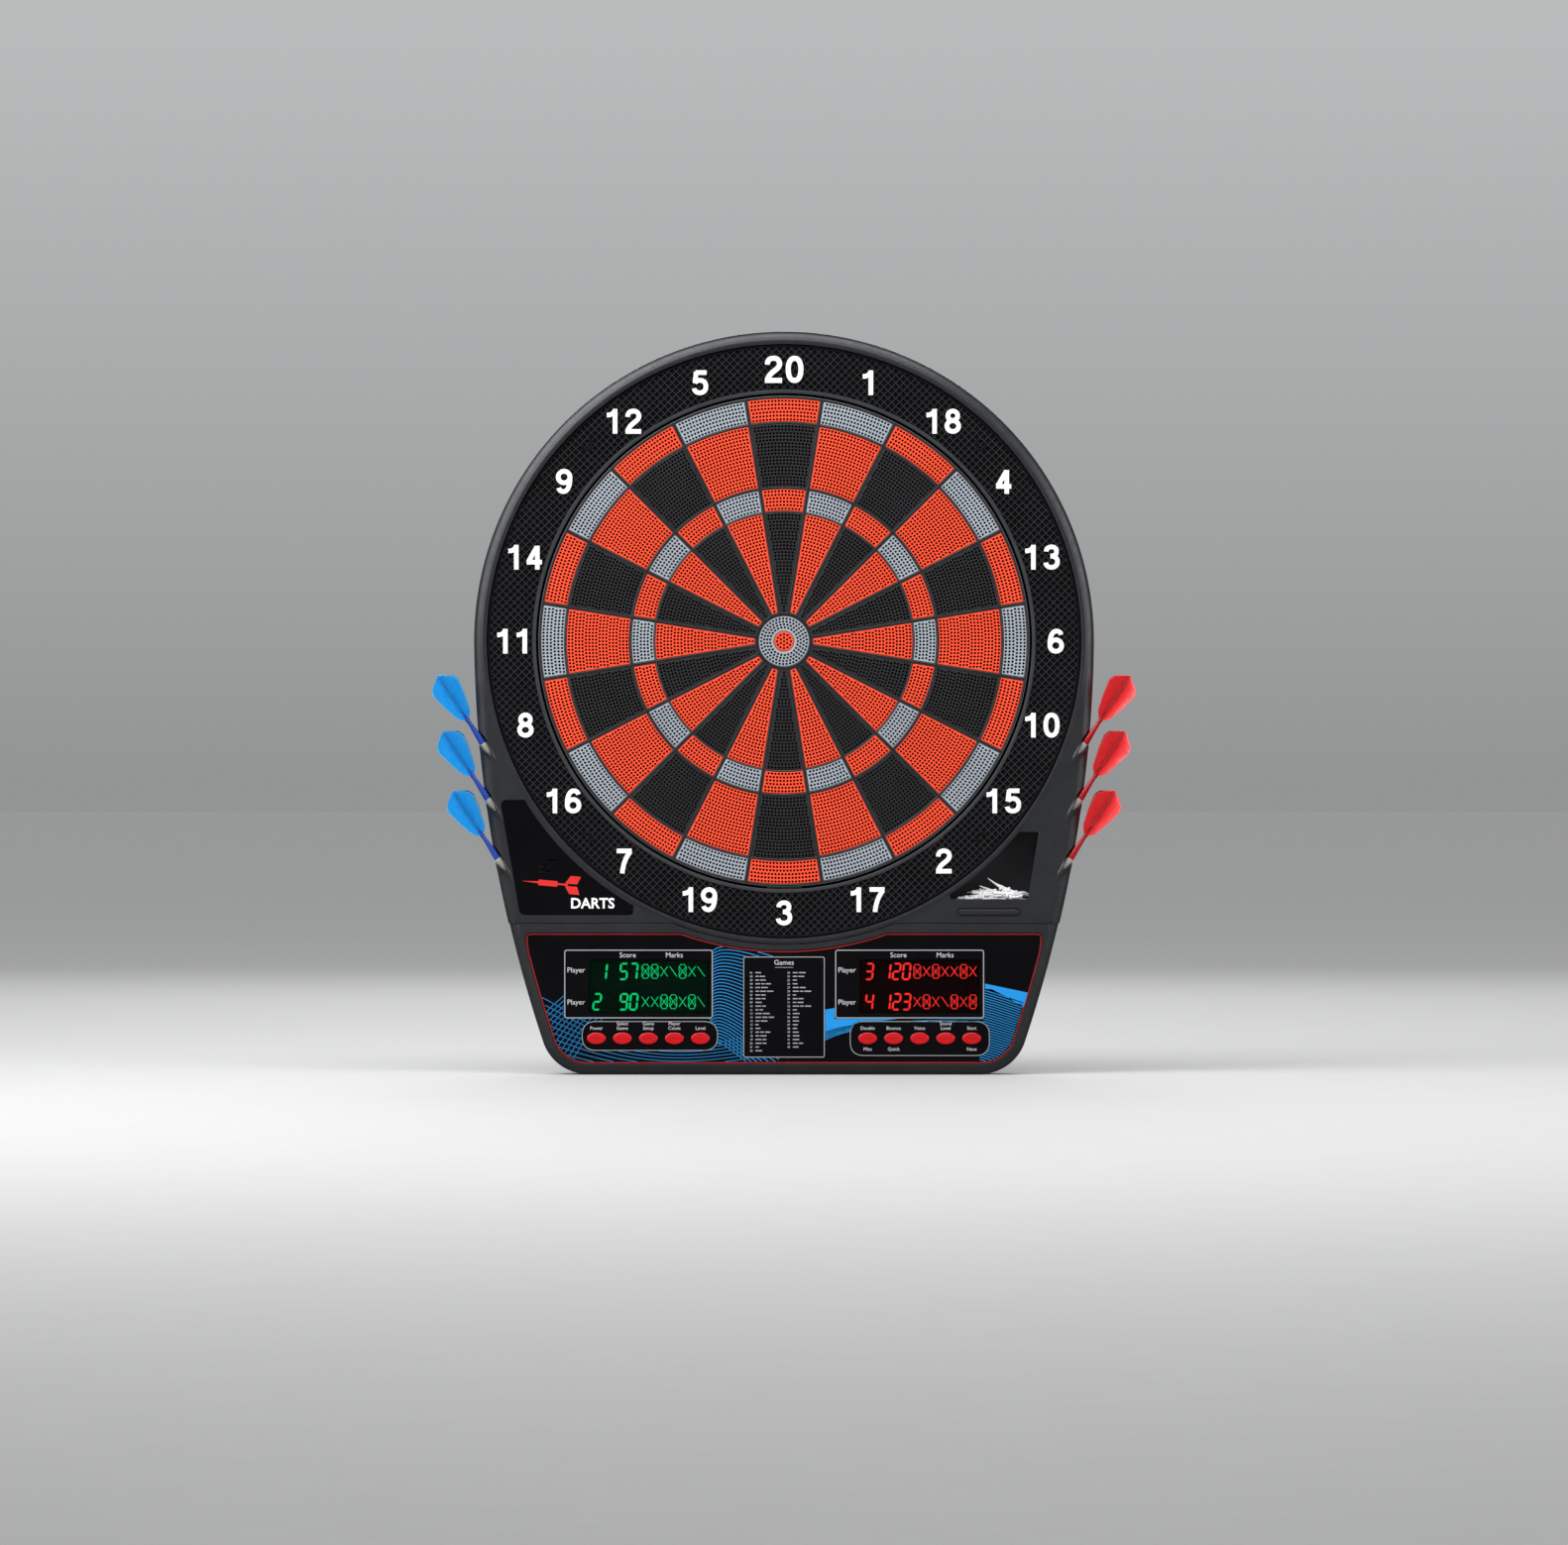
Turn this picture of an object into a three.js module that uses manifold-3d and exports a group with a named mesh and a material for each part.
// Electronic dartboard: a wall-hung soft-tip board with a sprung segment matrix, a scoring
// console below it, a holster for three darts at each side and a bin of spare tips.
//
// Every function works in the board's own frame: x to the player's right, y up, z out of the
// wall, with the bull on the z axis and the wall at z = 0. The exported group turns that frame
// so that the board hangs upright with +Z up and its face looks along -Y. Millimetres.

import * as THREE from 'three';
import { mergeVertices } from 'three/addons/utils/BufferGeometryUtils.js';
import Module from 'manifold-3d';

const wasm = await Module();
wasm.setup();

// ---- Driving dimensions -------------------------------------------------------------------

const GAP = 0.3; // between solids that touch or seat on each other

// Housing outline seen from the front: a rim circle, two long side curves, two bottom corners
const RIM_RADIUS = 250.4;
const RIM_END_ANGLE = -1.8; // degrees below the middle, where the sides take over
const SIDE_HANDLES = [[248.5, -113], [229.8, -219.8]];
const CORNER = { x: 158.8, y: -311.9, radius: 38.5, endAngle: -17.4 };
const SEAM = -228; // height of the line between the front bezel and the control bezel
const RING_SEAM_RADIUS = 245; // where that line dips around the target
const CONTROL_INSET = 0.8; // the control bezel sits this far inside the front bezel's outline

// Heights above the wall, back to front
const COVER = { floor: 2.5, top: 14, inset: 1.5, wall: 2.5, edge: 1.5 };
const SHELL = { back: 14.3, inside: 36, front: 39.5, wall: 2.5, edge: 3 };
const BACKING = { back: 14.5, front: 18, radius: 199 };
const MEMBRANE = { back: 18.3, front: 19.1, radius: 196, tailWidth: 28, tailEnd: -256 };
const CUSHION = { back: 19.4, front: 21.6, radius: 198.4 };
const STRIP = { back: 23.4, front: 26.6, width: 4, inner: 25, outer: 194.5 };
const PLATE = { back: 26.3, front: 36 };
const SPIDER = { back: 27, front: 36.5, radius: 198.5, bullHole: 20.6, skirt: 21.9 };
const CATCH = { inner: 200.2, outer: 239.4, wall: 2.5, innerFront: 35.6, outerFront: 38.4 };
const CATCH_FOOT = { inner: 20, outer: 24 };

// Scoring target, millimetres from the bull
const BULLSEYE_RADIUS = 7.9;
const BULL_RING = { inner: 8.3, outer: 20.3, flange: 22.3, flangeBack: 25.8 };
const BULLSEYE_FLANGE = { reach: 3, front: 24.2 };
const SCORE_RINGS = [
  { inner: 23.6, outer: 103.9 }, // inner single
  { inner: 105.5, outer: 123 }, // triple
  { inner: 125.4, outer: 175.5 }, // outer single
  { inner: 177.6, outer: 196 }, // double
];
const SPOKE_WIDTH = 2.2; // spider wall between two neighbouring numbers
const NUMBERS = [20, 1, 18, 4, 13, 6, 10, 15, 2, 17, 3, 19, 7, 16, 8, 11, 14, 9, 12, 5];
const SECTOR_ANGLE = 360 / NUMBERS.length;

// Catch ring screws and the posts of the rear cover that take them
const SCREW_RING_RADIUS = 225;
const SCREW_ANGLES = [45, 135, 225, 315];
const SCREW_BOSS = { radius: 5, bore: 3, boreBottom: 23 };

// Round wall of the front bezel that the catch ring drops into
const RING_WELL = { radius: 240, wall: 2.5, ledgeInner: 236.5, ledgeBack: 20, ledgeFront: 23.7 };

// Dart holsters: where a dart's barrel ends at the housing edge, and how the dart leans there
const HOLSTERS = [[243.3, -82.2], [239.2, -127.2], [231.3, -175.3]];
const HOLSTER = { lean: 33.5, tilt: 4, height: 35, bore: 3.9, tube: 5.6, length: 36, notch: 10 };
const HOLSTER_BORE = { overrun: 5, outerEnd: 40 }; // past the tube at each end

// Dart, along its own axis from the end of the barrel
const DART = { flight: 22.8, fin: 0.6 };
// Half section of tip, barrel and shaft, [radius, distance along the dart]
const DART_PROFILE = [
  [0, -58], [0.8, -58], [1.7, -38], [2.8, -37], [3.2, -35], [3.2, -1], [2.8, 0], [2.1, 10], [1.5, 62], [0, 62],
];
// Fin outline, [radius, distance along the flight]. Film flights reach 17.2 and bend past each
// other; these rigid ones stop at 13.6, so that a dart slides out clear of its neighbours.
const FLIGHT_OUTLINE = [[0, 0], [3.2, 0], [6.9, 5], [10.9, 18], [13.6, 30.5], [11.7, 35.5], [0, 42.5]];

// Left corner plate over the speaker, and the right-hand bin for spare tips
const PLATE_CORNERS = [[-228.8, -128.6, 5], [-212.9, -221.1, 5], [-122, -221.1, 3], [-122, -128.6, 0]];
const PLATE_RIM = 246; // radius of the corner plate's concave edge
const PLATE_FLOOR = 37.9;
const PLATE_FRONT = 39.2;
const SPEAKER = { x: -184, y: -184, mouth: 12 };
// Half section of the speaker, [radius, height]: magnet, basket, rim and sunken cone
const SPEAKER_PROFILE = [
  [0, 24], [8, 24], [8, 28], [12, 30], [14, 30], [14, 35.6], [12.5, 35.6], [4, 33], [0, 33],
];
const SPEAKER_SLOT_HALF_HEIGHT = 0.7;
const SPEAKER_SLOTS = [[-195.2, -184.6, -177.3], [-197.7, -191, -181.5], [-198, -189, -185.8]];
const BIN_CORNERS = [[134, -154.2, 0], [134, -208.2, 2], [196.9, -208.2, 2], [205.6, -154.2, 2]];
const BIN_FLOOR_CORNERS = [1, 2]; // the corners that the sump carries further down
const BIN = { rim: 244.5, sump: 4, wall: 1.5, back: 16, front: 35.7 };

// Spare tips: size of one, small turns in radians, and the rows they are heaped in
const SPARE_TIP = { point: 0.8, thread: 2.3, length: 25, sides: 5, roll: 0.05, yaw: 0.14, stagger: 2 };
const TIP_ROWS = [
  { count: 5, left: 152, right: 183, y: -209.2, z: 24 },
  { count: 4, left: 156, right: 181, y: -206, z: 27 },
];

// Console: printed panel, display windows, buttons
const PANEL = { inset: 9.4, top: -235.8, round: 8, arc: 250, floor: 38, back: 38.3, front: 38.9 };
const WINDOWS = [[-157.6, -60.4], [60.8, 158]];
const WINDOW = { bottom: -300.6, top: -257, back: 36.2, front: 38.7 };
const BUTTONS = { first: 67.5, pitch: 21, count: 5, y: -320.7, halfWidth: 7.65, halfHeight: 4.75 };
const BUTTON = { back: 34.2, skirt: 34.7, flange: 35.6, front: 40.2, lip: 1.3, gap: 0.35 };
const KEYPAD = { back: 29.9, sheet: 31.5, dome: 32.7, domeRadius: 4, margin: 10, halfHeight: 8 };
const BOARD = {
  back: 27.9, front: 29.5, top: -252, bottom: -331.5, topHalf: 178, bottomHalf: 168, round: 3,
};
const CONNECTOR = { halfWidth: 15, top: -253, bottom: -261, back: 19.4 };
const LED_MODULE = { back: 29.8, front: 35.8, margin: 0.8 };

// Power inlet in the underside
const JACK = { x: 110, height: 23, halfWidth: 4.6, halfDepth: 5.4, inner: -333, face: -346.8 };
const JACK_SOCKET = { nose: 4.4, noseEnd: -349.2, bore: 3.15, pin: 1, floor: -338, hole: 4.9, holeTop: -345 };

// Keyholes that hang the board, 203.2 mm (8 in) apart
const KEYHOLE = { x: 101.6, y: 150, head: 5, shank: 2.5, rise: 10 };

// Facets
const CIRCLE_STEPS = 40;
const RIM_STEPS = 18; // on the quarter circle of the housing's rim
const SIDE_STEPS = 8;
const ROUND_STEPS = 2;
const SMALL_STEPS = 12;
const BORE_STEPS = 8;
const CELL_FACET = 90; // target radius per facet of a scoring plate's arc
const FAR = 400; // reaches past the whole board

// ---- Outlines -----------------------------------------------------------------------------

// Points on an arc, both ends included. Angles in degrees, anticlockwise from +x.
function arc(x, y, radius, from, to, steps, squash = 1) {
  return Array.from({ length: steps + 1 }, (_, i) => {
    const angle = THREE.MathUtils.degToRad(from + ((to - from) * i) / steps);
    return new THREE.Vector2(x + radius * Math.cos(angle), y + radius * squash * Math.sin(angle));
  });
}

function circle(radius, x = 0, y = 0, steps = CIRCLE_STEPS) {
  return arc(x, y, radius, 0, 360, steps).slice(1);
}

// The housing seen from the front, anticlockwise from its bottom edge
function housingLoop() {
  const rim = arc(0, 0, RIM_RADIUS, RIM_END_ANGLE, 90, RIM_STEPS);
  const corner = arc(CORNER.x, CORNER.y, CORNER.radius, -90, CORNER.endAngle, 2 * ROUND_STEPS + 2);
  const [upper, lower] = SIDE_HANDLES.map((point) => new THREE.Vector2(...point));
  const side = new THREE.CubicBezierCurve(corner.at(-1), lower, upper, rim[0]);
  const right = [...corner, ...side.getPoints(SIDE_STEPS).slice(1), ...rim.slice(1)];
  const left = right.slice(0, -1).reverse().map((point) => new THREE.Vector2(-point.x, point.y));
  return [...right, ...left];
}

// A loop moved inwards by a distance, or outwards by a negative one, with mitred corners
function inset(loop, distance) {
  const inward = (from, to) => new THREE.Vector2(from.y - to.y, to.x - from.x).normalize();
  return loop.map((point, i) => {
    const bisector = inward(loop.at(i - 1), point).add(inward(point, loop[(i + 1) % loop.length]));
    return bisector.multiplyScalar((2 * distance) / bisector.lengthSq()).add(point);
  });
}

// A polygon whose corners [x, y, round] are rounded from that far along each edge
function roundedLoop(corners) {
  return corners.flatMap(([x, y, round], i) => {
    const corner = new THREE.Vector2(x, y);
    const towards = ([toX, toY]) => new THREE.Vector2(toX, toY).sub(corner).setLength(round).add(corner);
    if (!round) return [corner];
    const before = towards(corners.at(i - 1));
    const after = towards(corners[(i + 1) % corners.length]);
    return new THREE.QuadraticBezierCurve(before, corner, after).getPoints(ROUND_STEPS);
  });
}

function rectangle(left, bottom, right, top, round = 0) {
  return roundedLoop([
    [left, bottom, round], [right, bottom, round], [right, top, round], [left, top, round],
  ]);
}

// The printed panel: the housing outline moved in, closed along a flat top with round corners
function panelLoop() {
  const lower = inset(housingLoop(), PANEL.inset).filter(({ y }) => y < PANEL.top - PANEL.round);
  const right = lower.filter(({ x }) => x > 0);
  const shoulder = right.at(-1);
  const corner = new THREE.Vector2(shoulder.x + 2, PANEL.top);
  const round = new THREE.QuadraticBezierCurve(
    shoulder, corner, new THREE.Vector2(corner.x - PANEL.round, PANEL.top),
  ).getPoints(2 * ROUND_STEPS);
  const half = [...right, ...round.slice(1)];
  const mirrored = half.map(({ x, y }) => new THREE.Vector2(-x, y)).reverse();
  return [...half, ...mirrored];
}

// One cell of the target, centred on +y, between two radii and two spokes
function cellLoop(inner, outer, spokeWidth) {
  const side = (radius, from, to) => {
    const halfAngle = SECTOR_ANGLE / 2 - THREE.MathUtils.radToDeg(Math.asin(spokeWidth / 2 / radius));
    const facets = Math.max(1, Math.round(radius / CELL_FACET));
    return arc(0, 0, radius, 90 + from * halfAngle, 90 + to * halfAngle, facets);
  };
  return [...side(inner, 1, -1), ...side(outer, -1, 1)];
}

function turned(loop, degrees) {
  const angle = THREE.MathUtils.degToRad(degrees);
  return loop.map((point) => point.clone().rotateAround(new THREE.Vector2(), angle));
}

// ---- Solids -------------------------------------------------------------------------------

// A closed three.js geometry as a solid that can be joined and cut
function solid(geometry) {
  geometry.deleteAttribute('normal');
  geometry.deleteAttribute('uv');
  const merged = mergeVertices(geometry);
  const triangles = [];
  for (let i = 0; i < merged.index.count; i += 3) {
    const [a, b, c] = merged.index.array.slice(i, i + 3);
    if (a !== b && b !== c && c !== a) triangles.push(a, b, c);
  }
  return new wasm.Manifold(new wasm.Mesh({
    numProp: 3,
    vertProperties: merged.attributes.position.array,
    triVerts: new Uint32Array(triangles),
  }));
}

function geometryOf(body) {
  const { vertProperties, triVerts } = body.getMesh();
  const geometry = new THREE.BufferGeometry();
  geometry.setAttribute('position', new THREE.BufferAttribute(vertProperties, 3));
  geometry.setIndex(new THREE.BufferAttribute(triVerts, 1));
  geometry.computeVertexNormals();
  return geometry;
}

// An outline extruded between two heights, with both edges rounded if asked
function slab(loop, back, front, round = 0, holes = []) {
  const shape = new THREE.Shape(loop);
  shape.holes = holes.map((hole) => new THREE.Path(hole));
  const geometry = new THREE.ExtrudeGeometry(shape, {
    depth: front - back - 2 * round,
    bevelEnabled: round > 0,
    bevelThickness: round,
    bevelSize: round,
    bevelOffset: -round,
    bevelSegments: 1,
  });
  return solid(geometry.translate(0, 0, back + round));
}

const disc = (radius, back, front, x = 0, y = 0, steps = CIRCLE_STEPS) => (
  slab(circle(radius, x, y, steps), back, front)
);
const ring = (inner, outer, back, front) => slab(circle(outer), back, front, 0, [circle(inner)]);
const block = (left, bottom, right, top, back, front) => (
  slab(rectangle(left, bottom, right, top), back, front)
);
const joined = (bodies) => bodies.reduce((whole, body) => whole.add(body));
const cut = (body, tools) => tools.reduce((rest, tool) => rest.subtract(tool), body);

// A profile of [radius, height] turned about the z axis
function turnedSolid(profile, steps = CIRCLE_STEPS) {
  const points = profile.map((point) => new THREE.Vector2(...point));
  return solid(new THREE.LatheGeometry(points, steps).rotateX(Math.PI / 2));
}

// ---- Housing ------------------------------------------------------------------------------

const aboveSeam = () => block(-FAR, SEAM + GAP / 2, FAR, FAR, SHELL.back, FAR);
const belowSeam = () => block(-FAR, -FAR, FAR, SEAM - GAP / 2, SHELL.back, FAR);

function screwPoints() {
  return SCREW_ANGLES.map((angle) => arc(0, 0, SCREW_RING_RADIUS, angle, angle, 1)[0]);
}

// Passage for the membrane's flat tail through the walls below the target
const tailPassage = () => (
  block(-CONNECTOR.halfWidth - 1, -FAR / 1.5, CONNECTOR.halfWidth + 1, -SPIDER.radius, 0, CATCH_FOOT.inner)
);

// A keyhole: a round hole for the screw's head with a narrow slot rising from it
function keyhole(x) {
  const { y, head, shank, rise } = KEYHOLE;
  return joined([
    disc(head, -1, COVER.floor + 1, x, y, SMALL_STEPS),
    block(x - shank, y, x + shank, y + rise, -1, COVER.floor + 1),
    disc(shank, -1, COVER.floor + 1, x, y + rise, SMALL_STEPS),
  ]);
}

function rearCover() {
  const loop = housingLoop();
  const outside = slab(inset(loop, COVER.inset), 0, 2 * COVER.top, COVER.edge)
    .intersect(block(-FAR, -FAR, FAR, FAR, 0, COVER.top));
  const inside = slab(inset(loop, COVER.inset + COVER.wall), COVER.floor, FAR);
  const posts = screwPoints().map(({ x, y }) => (
    disc(SCREW_BOSS.radius, COVER.floor - 1, CATCH_FOOT.inner - GAP, x, y, BORE_STEPS)
  ));
  const tray = joined([outside.subtract(inside), ...posts]);
  return cut(tray, [-KEYHOLE.x, KEYHOLE.x].map(keyhole));
}

// Places something built along +y at a holster, leaning out and slightly forwards
function holsterPose(side, [x, y]) {
  const pose = new THREE.Object3D();
  const { tilt, lean, height } = HOLSTER;
  pose.position.set(side * x, y, height);
  pose.rotation.set(THREE.MathUtils.degToRad(tilt), 0, THREE.MathUtils.degToRad(-side * lean), 'ZXY');
  pose.updateMatrix();
  return pose;
}

// A rod along a holster's axis, between two distances from the barrel's end
function holsterRod(side, entry, radius, from, to) {
  const rod = new THREE.CylinderGeometry(radius, radius, to - from, BORE_STEPS);
  rod.translate(0, (from + to) / 2, 0).applyMatrix4(holsterPose(side, entry).matrix);
  return solid(rod);
}

// The open mouth of a holster, cut from the front face down to the dart's axis
function holsterNotch(side, entry) {
  const { notch, bore, height } = HOLSTER;
  const mouth = rectangle(-bore, -notch, bore, 2 * notch, bore - 1);
  const angle = THREE.MathUtils.degToRad(-side * HOLSTER.lean);
  const centre = new THREE.Vector2(side * entry[0], entry[1]);
  const placed = mouth.map((point) => point.rotateAround(new THREE.Vector2(), angle).add(centre));
  return slab(placed, height, height + 2 * bore);
}

const cornerPlateLoop = () => roundedLoop(PLATE_CORNERS);
const binLoop = () => roundedLoop(BIN_CORNERS);

function frontBezel() {
  const loop = housingLoop();
  const { back, inside, front, wall, edge } = SHELL;
  const outside = slab(loop, back - 2 * edge, front, edge).intersect(aboveSeam())
    .add(disc(RING_SEAM_RADIUS - GAP / 2, back, front));
  const well = RING_WELL.radius + RING_WELL.wall;
  const floorLine = block(-FAR, SEAM + GAP / 2 + wall, FAR, FAR, 0, FAR);
  const hollow = slab(inset(loop, wall), 0, inside).intersect(floorLine).subtract(disc(well, 0, FAR));
  const ledge = ring(RING_WELL.ledgeInner, RING_WELL.radius + 1, RING_WELL.ledgeBack, RING_WELL.ledgeFront);
  const tubeLimit = slab(loop, back, front + 2 * edge);
  const sides = [-1, 1].flatMap((side) => HOLSTERS.map((entry) => [side, entry]));
  const tubes = sides.map(([side, entry]) => (
    holsterRod(side, entry, HOLSTER.tube, -HOLSTER.length, HOLSTER.length).intersect(tubeLimit)
  ));
  const bores = sides.map(([side, entry]) => (
    holsterRod(side, entry, HOLSTER.bore, -HOLSTER.length - HOLSTER_BORE.overrun, HOLSTER_BORE.outerEnd)
  ));
  const notches = sides.map(([side, entry]) => holsterNotch(side, entry));
  const plateRecess = slab(inset(cornerPlateLoop(), -GAP), PLATE_FLOOR, FAR)
    .subtract(disc(PLATE_RIM, 0, FAR));
  const speakerMouth = disc(SPEAKER.mouth, inside - 1, FAR, SPEAKER.x, SPEAKER.y, SMALL_STEPS);
  const binMouth = slab(binLoop(), inside - 1, FAR).subtract(disc(BIN.rim, 0, FAR));
  const shell = outside.subtract(hollow).subtract(disc(RING_WELL.radius, 0, FAR));
  return cut(joined([shell, ledge, ...tubes]), [
    ...bores, ...notches, plateRecess, speakerMouth, binMouth, tailPassage(),
  ]);
}

function catchRing() {
  const { inner, outer, wall, innerFront, outerFront } = CATCH;
  const channel = turnedSolid([
    [inner, CATCH_FOOT.inner], [inner + wall, CATCH_FOOT.inner], [inner + wall, innerFront - wall],
    [outer - wall, outerFront - wall], [outer - wall, CATCH_FOOT.outer], [outer, CATCH_FOOT.outer],
    [outer, outerFront], [outer - 3, outerFront], [inner + 1, innerFront], [inner, innerFront - 1],
    [inner, CATCH_FOOT.inner],
  ]);
  const bosses = screwPoints().map(({ x, y }) => (
    disc(SCREW_BOSS.radius, CATCH_FOOT.inner, innerFront, x, y, BORE_STEPS)
  ));
  const bores = screwPoints().map(({ x, y }) => (
    disc(SCREW_BOSS.bore, SCREW_BOSS.boreBottom, FAR, x, y, BORE_STEPS)
  ));
  return cut(joined([channel, ...bosses]), bores);
}

// ---- Target -------------------------------------------------------------------------------

// Black grid that every segment slides in, with a skirt that stands on the cushion
function spider() {
  const cells = NUMBERS.flatMap((_, i) => SCORE_RINGS.map(({ inner, outer }) => (
    turned(cellLoop(inner - GAP, outer + GAP, SPOKE_WIDTH), i * SECTOR_ANGLE)
  )));
  const grid = slab(circle(SPIDER.radius), SPIDER.back, SPIDER.front, 0, [circle(SPIDER.bullHole), ...cells]);
  const rim = (SCORE_RINGS.at(-1).outer + GAP + SPIDER.radius) / 2;
  return grid.add(ring(rim, SPIDER.radius, SPIDER.skirt, SPIDER.back + 1));
}

// The four scoring plates of one number, joined behind the spider by a strip
function sectorSegments() {
  const plates = SCORE_RINGS.map(({ inner, outer }) => (
    slab(cellLoop(inner, outer, SPOKE_WIDTH + 2 * GAP), PLATE.back, PLATE.front)
  ));
  const half = STRIP.width / 2;
  return joined([...plates, block(-half, STRIP.inner, half, STRIP.outer, STRIP.back, STRIP.front)]);
}

// Outer bull with a flange behind the spider
function bullRing() {
  const { inner, outer, flange, flangeBack } = BULL_RING;
  return turnedSolid([
    [inner, flangeBack], [flange, flangeBack], [flange, SPIDER.back - GAP], [outer, SPIDER.back - GAP],
    [outer, PLATE.front], [inner, PLATE.front], [inner, flangeBack],
  ], CIRCLE_STEPS / 3);
}

// Inner bull with a flange behind the outer bull, low enough for the outer bull's own travel
function bullseye() {
  const flange = BULLSEYE_RADIUS + BULLSEYE_FLANGE.reach;
  return turnedSolid([
    [0, STRIP.back], [flange, STRIP.back], [flange, BULLSEYE_FLANGE.front],
    [BULLSEYE_RADIUS, BULLSEYE_FLANGE.front],
    [BULLSEYE_RADIUS, PLATE.front], [0, PLATE.front],
  ], CIRCLE_STEPS / 3);
}

// Switch sheet with the flat tail that runs down to the control board
function contactMembrane() {
  const { back, front, radius, tailWidth, tailEnd } = MEMBRANE;
  return disc(radius, back, front)
    .add(block(-tailWidth / 2, tailEnd, tailWidth / 2, 10 - radius, back, front));
}

// ---- Corner plate, speaker, tip bin -------------------------------------------------------

function cornerPlate() {
  const plate = slab(cornerPlateLoop(), PLATE_FLOOR + GAP, PLATE_FRONT);
  const slots = SPEAKER_SLOTS.map(([left, right, y]) => (
    slab(rectangle(
      left, y - SPEAKER_SLOT_HALF_HEIGHT, right, y + SPEAKER_SLOT_HALF_HEIGHT,
    ), PLATE_FLOOR, PLATE_FRONT + 1)
  ));
  return cut(plate, [disc(PLATE_RIM + GAP, 0, FAR), ...slots]);
}

function speaker() {
  return turnedSolid(SPEAKER_PROFILE, SMALL_STEPS);
}

function tipBin() {
  const { rim, sump, wall, back, front } = BIN;
  const room = roundedLoop(BIN_CORNERS.map(([x, y, round], i) => (
    [x, BIN_FLOOR_CORNERS.includes(i) ? y - sump : y, round]
  )));
  const outside = slab(inset(room, -wall), back, front).subtract(disc(rim - wall, 0, FAR));
  const inside = slab(room, back + wall, FAR).subtract(disc(rim, 0, FAR));
  return outside.subtract(inside);
}

// Loose spare tips, heaped in the bottom of the bin and joined into one solid
function spareTips() {
  const { point, thread, length, sides, roll, yaw, stagger } = SPARE_TIP;
  return joined(TIP_ROWS.flatMap(({ count, left, right, y, z }) => Array.from({ length: count }, (_, i) => {
    const flip = i % 2 ? 1 : -1;
    const x = THREE.MathUtils.lerp(left, right, i / (count - 1));
    const tip = new THREE.CylinderGeometry(point, thread, length, sides);
    tip.rotateZ(flip * (Math.PI / 2 + roll)).rotateY(yaw * flip);
    return solid(tip.translate(x, y, z + stagger * flip));
  })));
}

// ---- Console ------------------------------------------------------------------------------

const buttonCentres = () => [-1, 1].map((side) => (
  Array.from({ length: BUTTONS.count }, (_, i) => side * (BUTTONS.first + i * BUTTONS.pitch))
    .sort((a, b) => a - b)
));

const buttonLoop = (x, grow = 0) => (
  arc(x, BUTTONS.y, BUTTONS.halfWidth + grow, 0, 360, SMALL_STEPS,
    (BUTTONS.halfHeight + grow) / (BUTTONS.halfWidth + grow)).slice(1)
);

// Everything that passes through the console's face: both windows and ten buttons
function faceOpenings(back, front) {
  const windows = WINDOWS.map(([left, right]) => (
    block(left - GAP, WINDOW.bottom - GAP, right + GAP, WINDOW.top + GAP, back, front)
  ));
  const buttons = buttonCentres().flat().map((x) => slab(buttonLoop(x, BUTTON.gap), back, front));
  return [...windows, ...buttons];
}

function controlBezel() {
  const { back, inside, front, wall, edge } = SHELL;
  const loop = inset(housingLoop(), CONTROL_INSET);
  const outside = slab(loop, back - 2 * edge, front, edge).intersect(belowSeam())
    .subtract(disc(RING_SEAM_RADIUS + GAP / 2, 0, FAR));
  const ceiling = block(-FAR, -FAR, FAR, SEAM - GAP / 2 - wall, 0, FAR);
  const hollow = slab(inset(loop, wall), 0, inside).intersect(ceiling)
    .subtract(disc(RING_SEAM_RADIUS + GAP / 2 + wall, 0, FAR));
  const panelSeat = slab(inset(panelLoop(), -GAP), PANEL.floor, FAR).subtract(disc(PANEL.arc - GAP, 0, FAR));
  const { hole, holeTop } = JACK_SOCKET;
  const jackHole = jackTurned([[0, -FAR], [hole, -FAR], [hole, holeTop], [0, holeTop]]);
  return cut(outside, [hollow, panelSeat, jackHole, tailPassage(), ...faceOpenings(inside - 1, FAR)]);
}

function graphicPanel() {
  const sheet = slab(panelLoop(), PANEL.back, PANEL.front).subtract(disc(PANEL.arc, 0, FAR));
  return cut(sheet, faceOpenings(PANEL.back - 1, FAR));
}

const displayWindow = ([left, right]) => (
  block(left, WINDOW.bottom, right, WINDOW.top, WINDOW.back, WINDOW.front)
);

function ledModule([left, right]) {
  const { back, front, margin } = LED_MODULE;
  return block(left + margin, WINDOW.bottom + margin, right - margin, WINDOW.top - margin, back, front);
}

function controlBoard() {
  const { back, front, top, bottom, topHalf, bottomHalf, round } = BOARD;
  const outline = roundedLoop([
    [-bottomHalf, bottom, round], [bottomHalf, bottom, round], [topHalf, top, round], [-topHalf, top, round],
  ]);
  const { halfWidth, bottom: socketBottom, top: socketTop, back: socketBack } = CONNECTOR;
  const socket = block(-halfWidth, socketBottom, halfWidth, socketTop, socketBack, back + 1);
  return slab(outline, back, front).add(socket);
}

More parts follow.
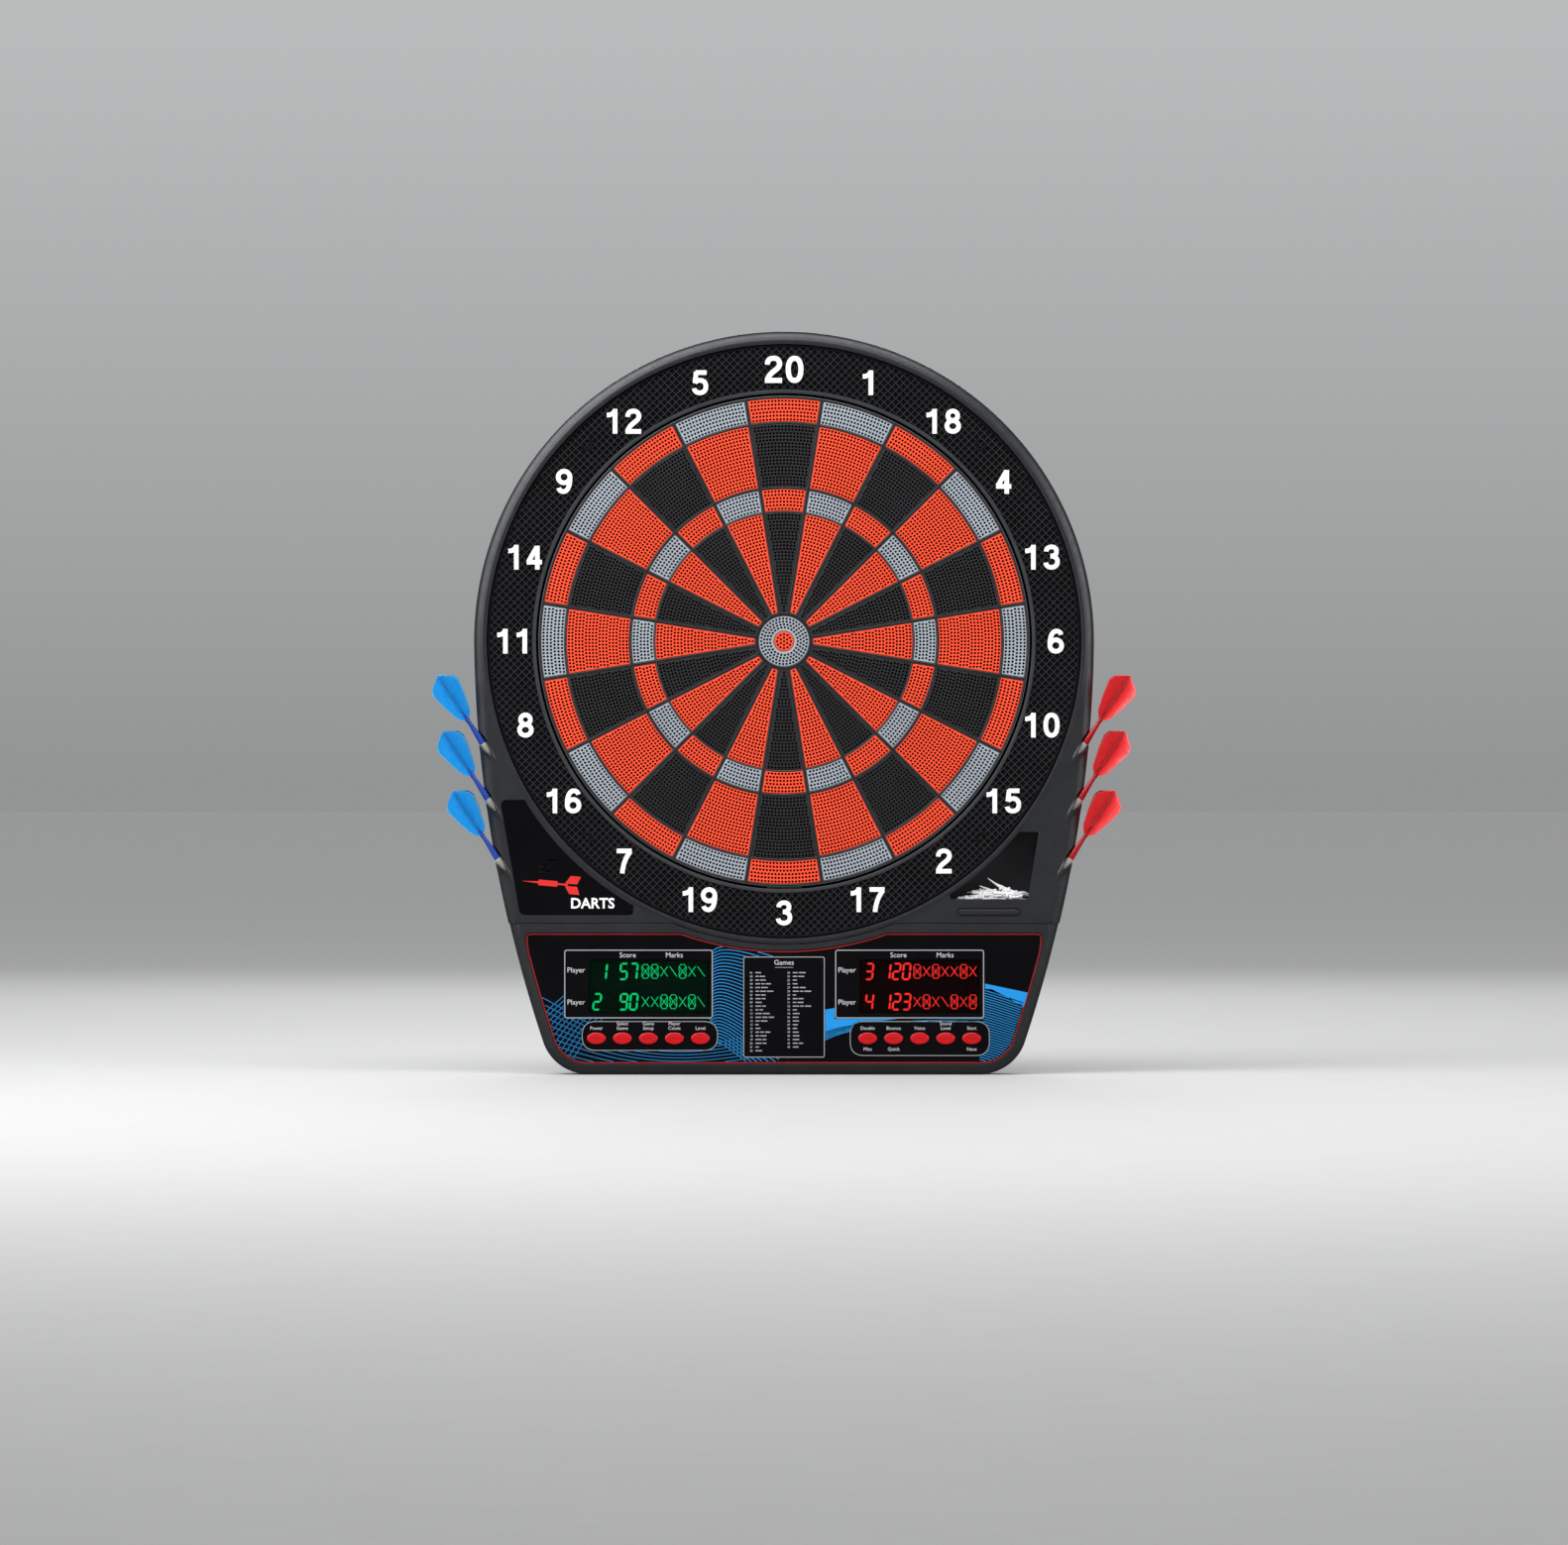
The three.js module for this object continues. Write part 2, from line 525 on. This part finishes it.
// Rubber sheet behind one row of buttons, with a dome under each
function keypad(centres) {
  const { back, sheet, dome, domeRadius, margin, halfHeight } = KEYPAD;
  const { y } = BUTTONS;
  const base = slab(
    rectangle(centres[0] - margin, y - halfHeight, centres.at(-1) + margin, y + halfHeight, 2), back, sheet,
  );
  const domes = centres.map((x) => (
    turnedSolid([[0, sheet - 1], [domeRadius, sheet - 1], [domeRadius - 1, dome], [0, dome]], BORE_STEPS)
      .translate([x, y, 0])
  ));
  return joined([base, ...domes]);
}

function button(x) {
  const cap = slab(buttonLoop(x), BUTTON.skirt, BUTTON.front);
  return cap.add(slab(buttonLoop(x, BUTTON.lip), BUTTON.back, BUTTON.flange));
}

// A profile of [radius, height] turned about the power inlet's vertical axis
function jackTurned(profile) {
  const points = profile.map((point) => new THREE.Vector2(...point));
  return solid(new THREE.LatheGeometry(points, SMALL_STEPS).translate(JACK.x, 0, JACK.height));
}

function dcJack() {
  const { x, height, halfWidth, halfDepth, inner, face } = JACK;
  const { nose, noseEnd, bore, pin, floor } = JACK_SOCKET;
  const body = block(x - halfWidth, face, x + halfWidth, inner, height - halfDepth, height + halfDepth)
    .add(jackTurned([[0, noseEnd], [nose, noseEnd], [nose, face + 1], [0, face + 1]]));
  const socket = jackTurned([[0, noseEnd - 1], [bore, noseEnd - 1], [bore, floor], [0, floor]]);
  const contact = jackTurned([[0, noseEnd + 1], [pin, noseEnd + 1], [pin, floor + 1], [0, floor + 1]]);
  return body.subtract(socket).add(contact);
}

// ---- Darts --------------------------------------------------------------------------------

// One dart along +y with the end of its barrel at the origin: tip, barrel, shaft, four fins
function dart() {
  const { flight, fin } = DART;
  const profile = DART_PROFILE.map((point) => new THREE.Vector2(...point));
  const stem = solid(new THREE.LatheGeometry(profile, BORE_STEPS));
  const mirrored = FLIGHT_OUTLINE.slice(1, -1).map(([x, y]) => [-x, y]).reverse();
  const sheet = [...FLIGHT_OUTLINE.slice(1), ...mirrored].map(([x, y]) => new THREE.Vector2(x, y + flight));
  const fins = [45, 135].map((angle) => slab(sheet, -fin / 2, fin / 2).rotate([0, angle, 0]));
  return joined([stem, ...fins]);
}

// ---- Assembly -----------------------------------------------------------------------------

const FINISHES = {
  housing: { color: 0x35373c, roughness: 0.5, metalness: 0 },
  darkPlastic: { color: 0x17171a, roughness: 0.6, metalness: 0 },
  redPlastic: { color: 0xe04a32, roughness: 0.5, metalness: 0 },
  greyPlastic: { color: 0x8e979f, roughness: 0.5, metalness: 0 },
  gloss: { color: 0x0b0b0f, roughness: 0.15, metalness: 0 },
  button: { color: 0xd9202a, roughness: 0.2, metalness: 0 },
  rubber: { color: 0x2b2b2b, roughness: 0.9, metalness: 0 },
  film: { color: 0xb9c4c9, roughness: 0.4, metalness: 0 },
  board: { color: 0x1d6b3a, roughness: 0.6, metalness: 0 },
  ledGreen: { color: 0x0a3018, roughness: 0.3, metalness: 0 },
  ledRed: { color: 0x300a0a, roughness: 0.3, metalness: 0 },
  window: { color: 0x101512, roughness: 0.05, metalness: 0 },
  metal: { color: 0x9a9a98, roughness: 0.35, metalness: 0.9 },
  whiteTip: { color: 0xf2f2f0, roughness: 0.45, metalness: 0 },
  blueDart: { color: 0x1787d6, roughness: 0.35, metalness: 0 },
  redDart: { color: 0xd5232b, roughness: 0.35, metalness: 0 },
};

const board = new THREE.Group();

function place(name, body, finish) {
  const mesh = new THREE.Mesh(geometryOf(body), new THREE.MeshStandardMaterial(finish));
  mesh.name = name;
  board.add(mesh);
  return mesh;
}

place('rear_cover', rearCover(), FINISHES.darkPlastic);
place('front_bezel', frontBezel(), FINISHES.housing);
place('control_bezel', controlBezel(), FINISHES.housing);
place('catch_ring', catchRing(), FINISHES.darkPlastic);
place('spider', spider(), FINISHES.darkPlastic);
place('backing_plate', disc(BACKING.radius, BACKING.back, BACKING.front), FINISHES.darkPlastic);
place('contact_membrane', contactMembrane(), FINISHES.film);
place('segment_cushion', disc(CUSHION.radius, CUSHION.back, CUSHION.front), FINISHES.rubber);
place('corner_plate', cornerPlate(), FINISHES.gloss);
place('speaker', speaker().translate([SPEAKER.x, SPEAKER.y, 0]), FINISHES.metal);
place('tip_bin', tipBin(), FINISHES.housing);
place('spare_tips', spareTips(), FINISHES.whiteTip);
place('graphic_panel', graphicPanel(), FINISHES.gloss);
place('control_board', controlBoard(), FINISHES.board);
place('dc_jack', dcJack(), FINISHES.darkPlastic);

['left', 'right'].forEach((side, i) => {
  place(`display_window_${side}`, displayWindow(WINDOWS[i]), FINISHES.window);
  place(`led_module_${side}`, ledModule(WINDOWS[i]), i ? FINISHES.ledRed : FINISHES.ledGreen);
  place(`keypad_${side}`, keypad(buttonCentres()[i]), FINISHES.rubber);
  buttonCentres()[i].forEach((x, n) => {
    place(`button_${side}_${n + 1}`, button(x), FINISHES.button);
  });
});

NUMBERS.forEach((number, i) => {
  const finish = i % 2 ? FINISHES.redPlastic : FINISHES.darkPlastic;
  const sector = place(`sector_${number}`, sectorSegments(), finish);
  sector.rotation.z = THREE.MathUtils.degToRad(-i * SECTOR_ANGLE);
});
place('bull_ring', bullRing(), FINISHES.greyPlastic);
place('bullseye', bullseye(), FINISHES.redPlastic);

['left', 'right'].forEach((side, i) => {
  HOLSTERS.forEach((entry, n) => {
    const stored = place(`dart_${side}_${n + 1}`, dart(), i ? FINISHES.redDart : FINISHES.blueDart);
    const pose = holsterPose(i ? 1 : -1, entry);
    stored.position.copy(pose.position);
    stored.quaternion.copy(pose.quaternion);
  });
});

// Hang the board upright: y up becomes +Z, out of the wall becomes -Y
const dartboard = new THREE.Group();
board.rotation.x = Math.PI / 2;
dartboard.add(board);

export default dartboard;
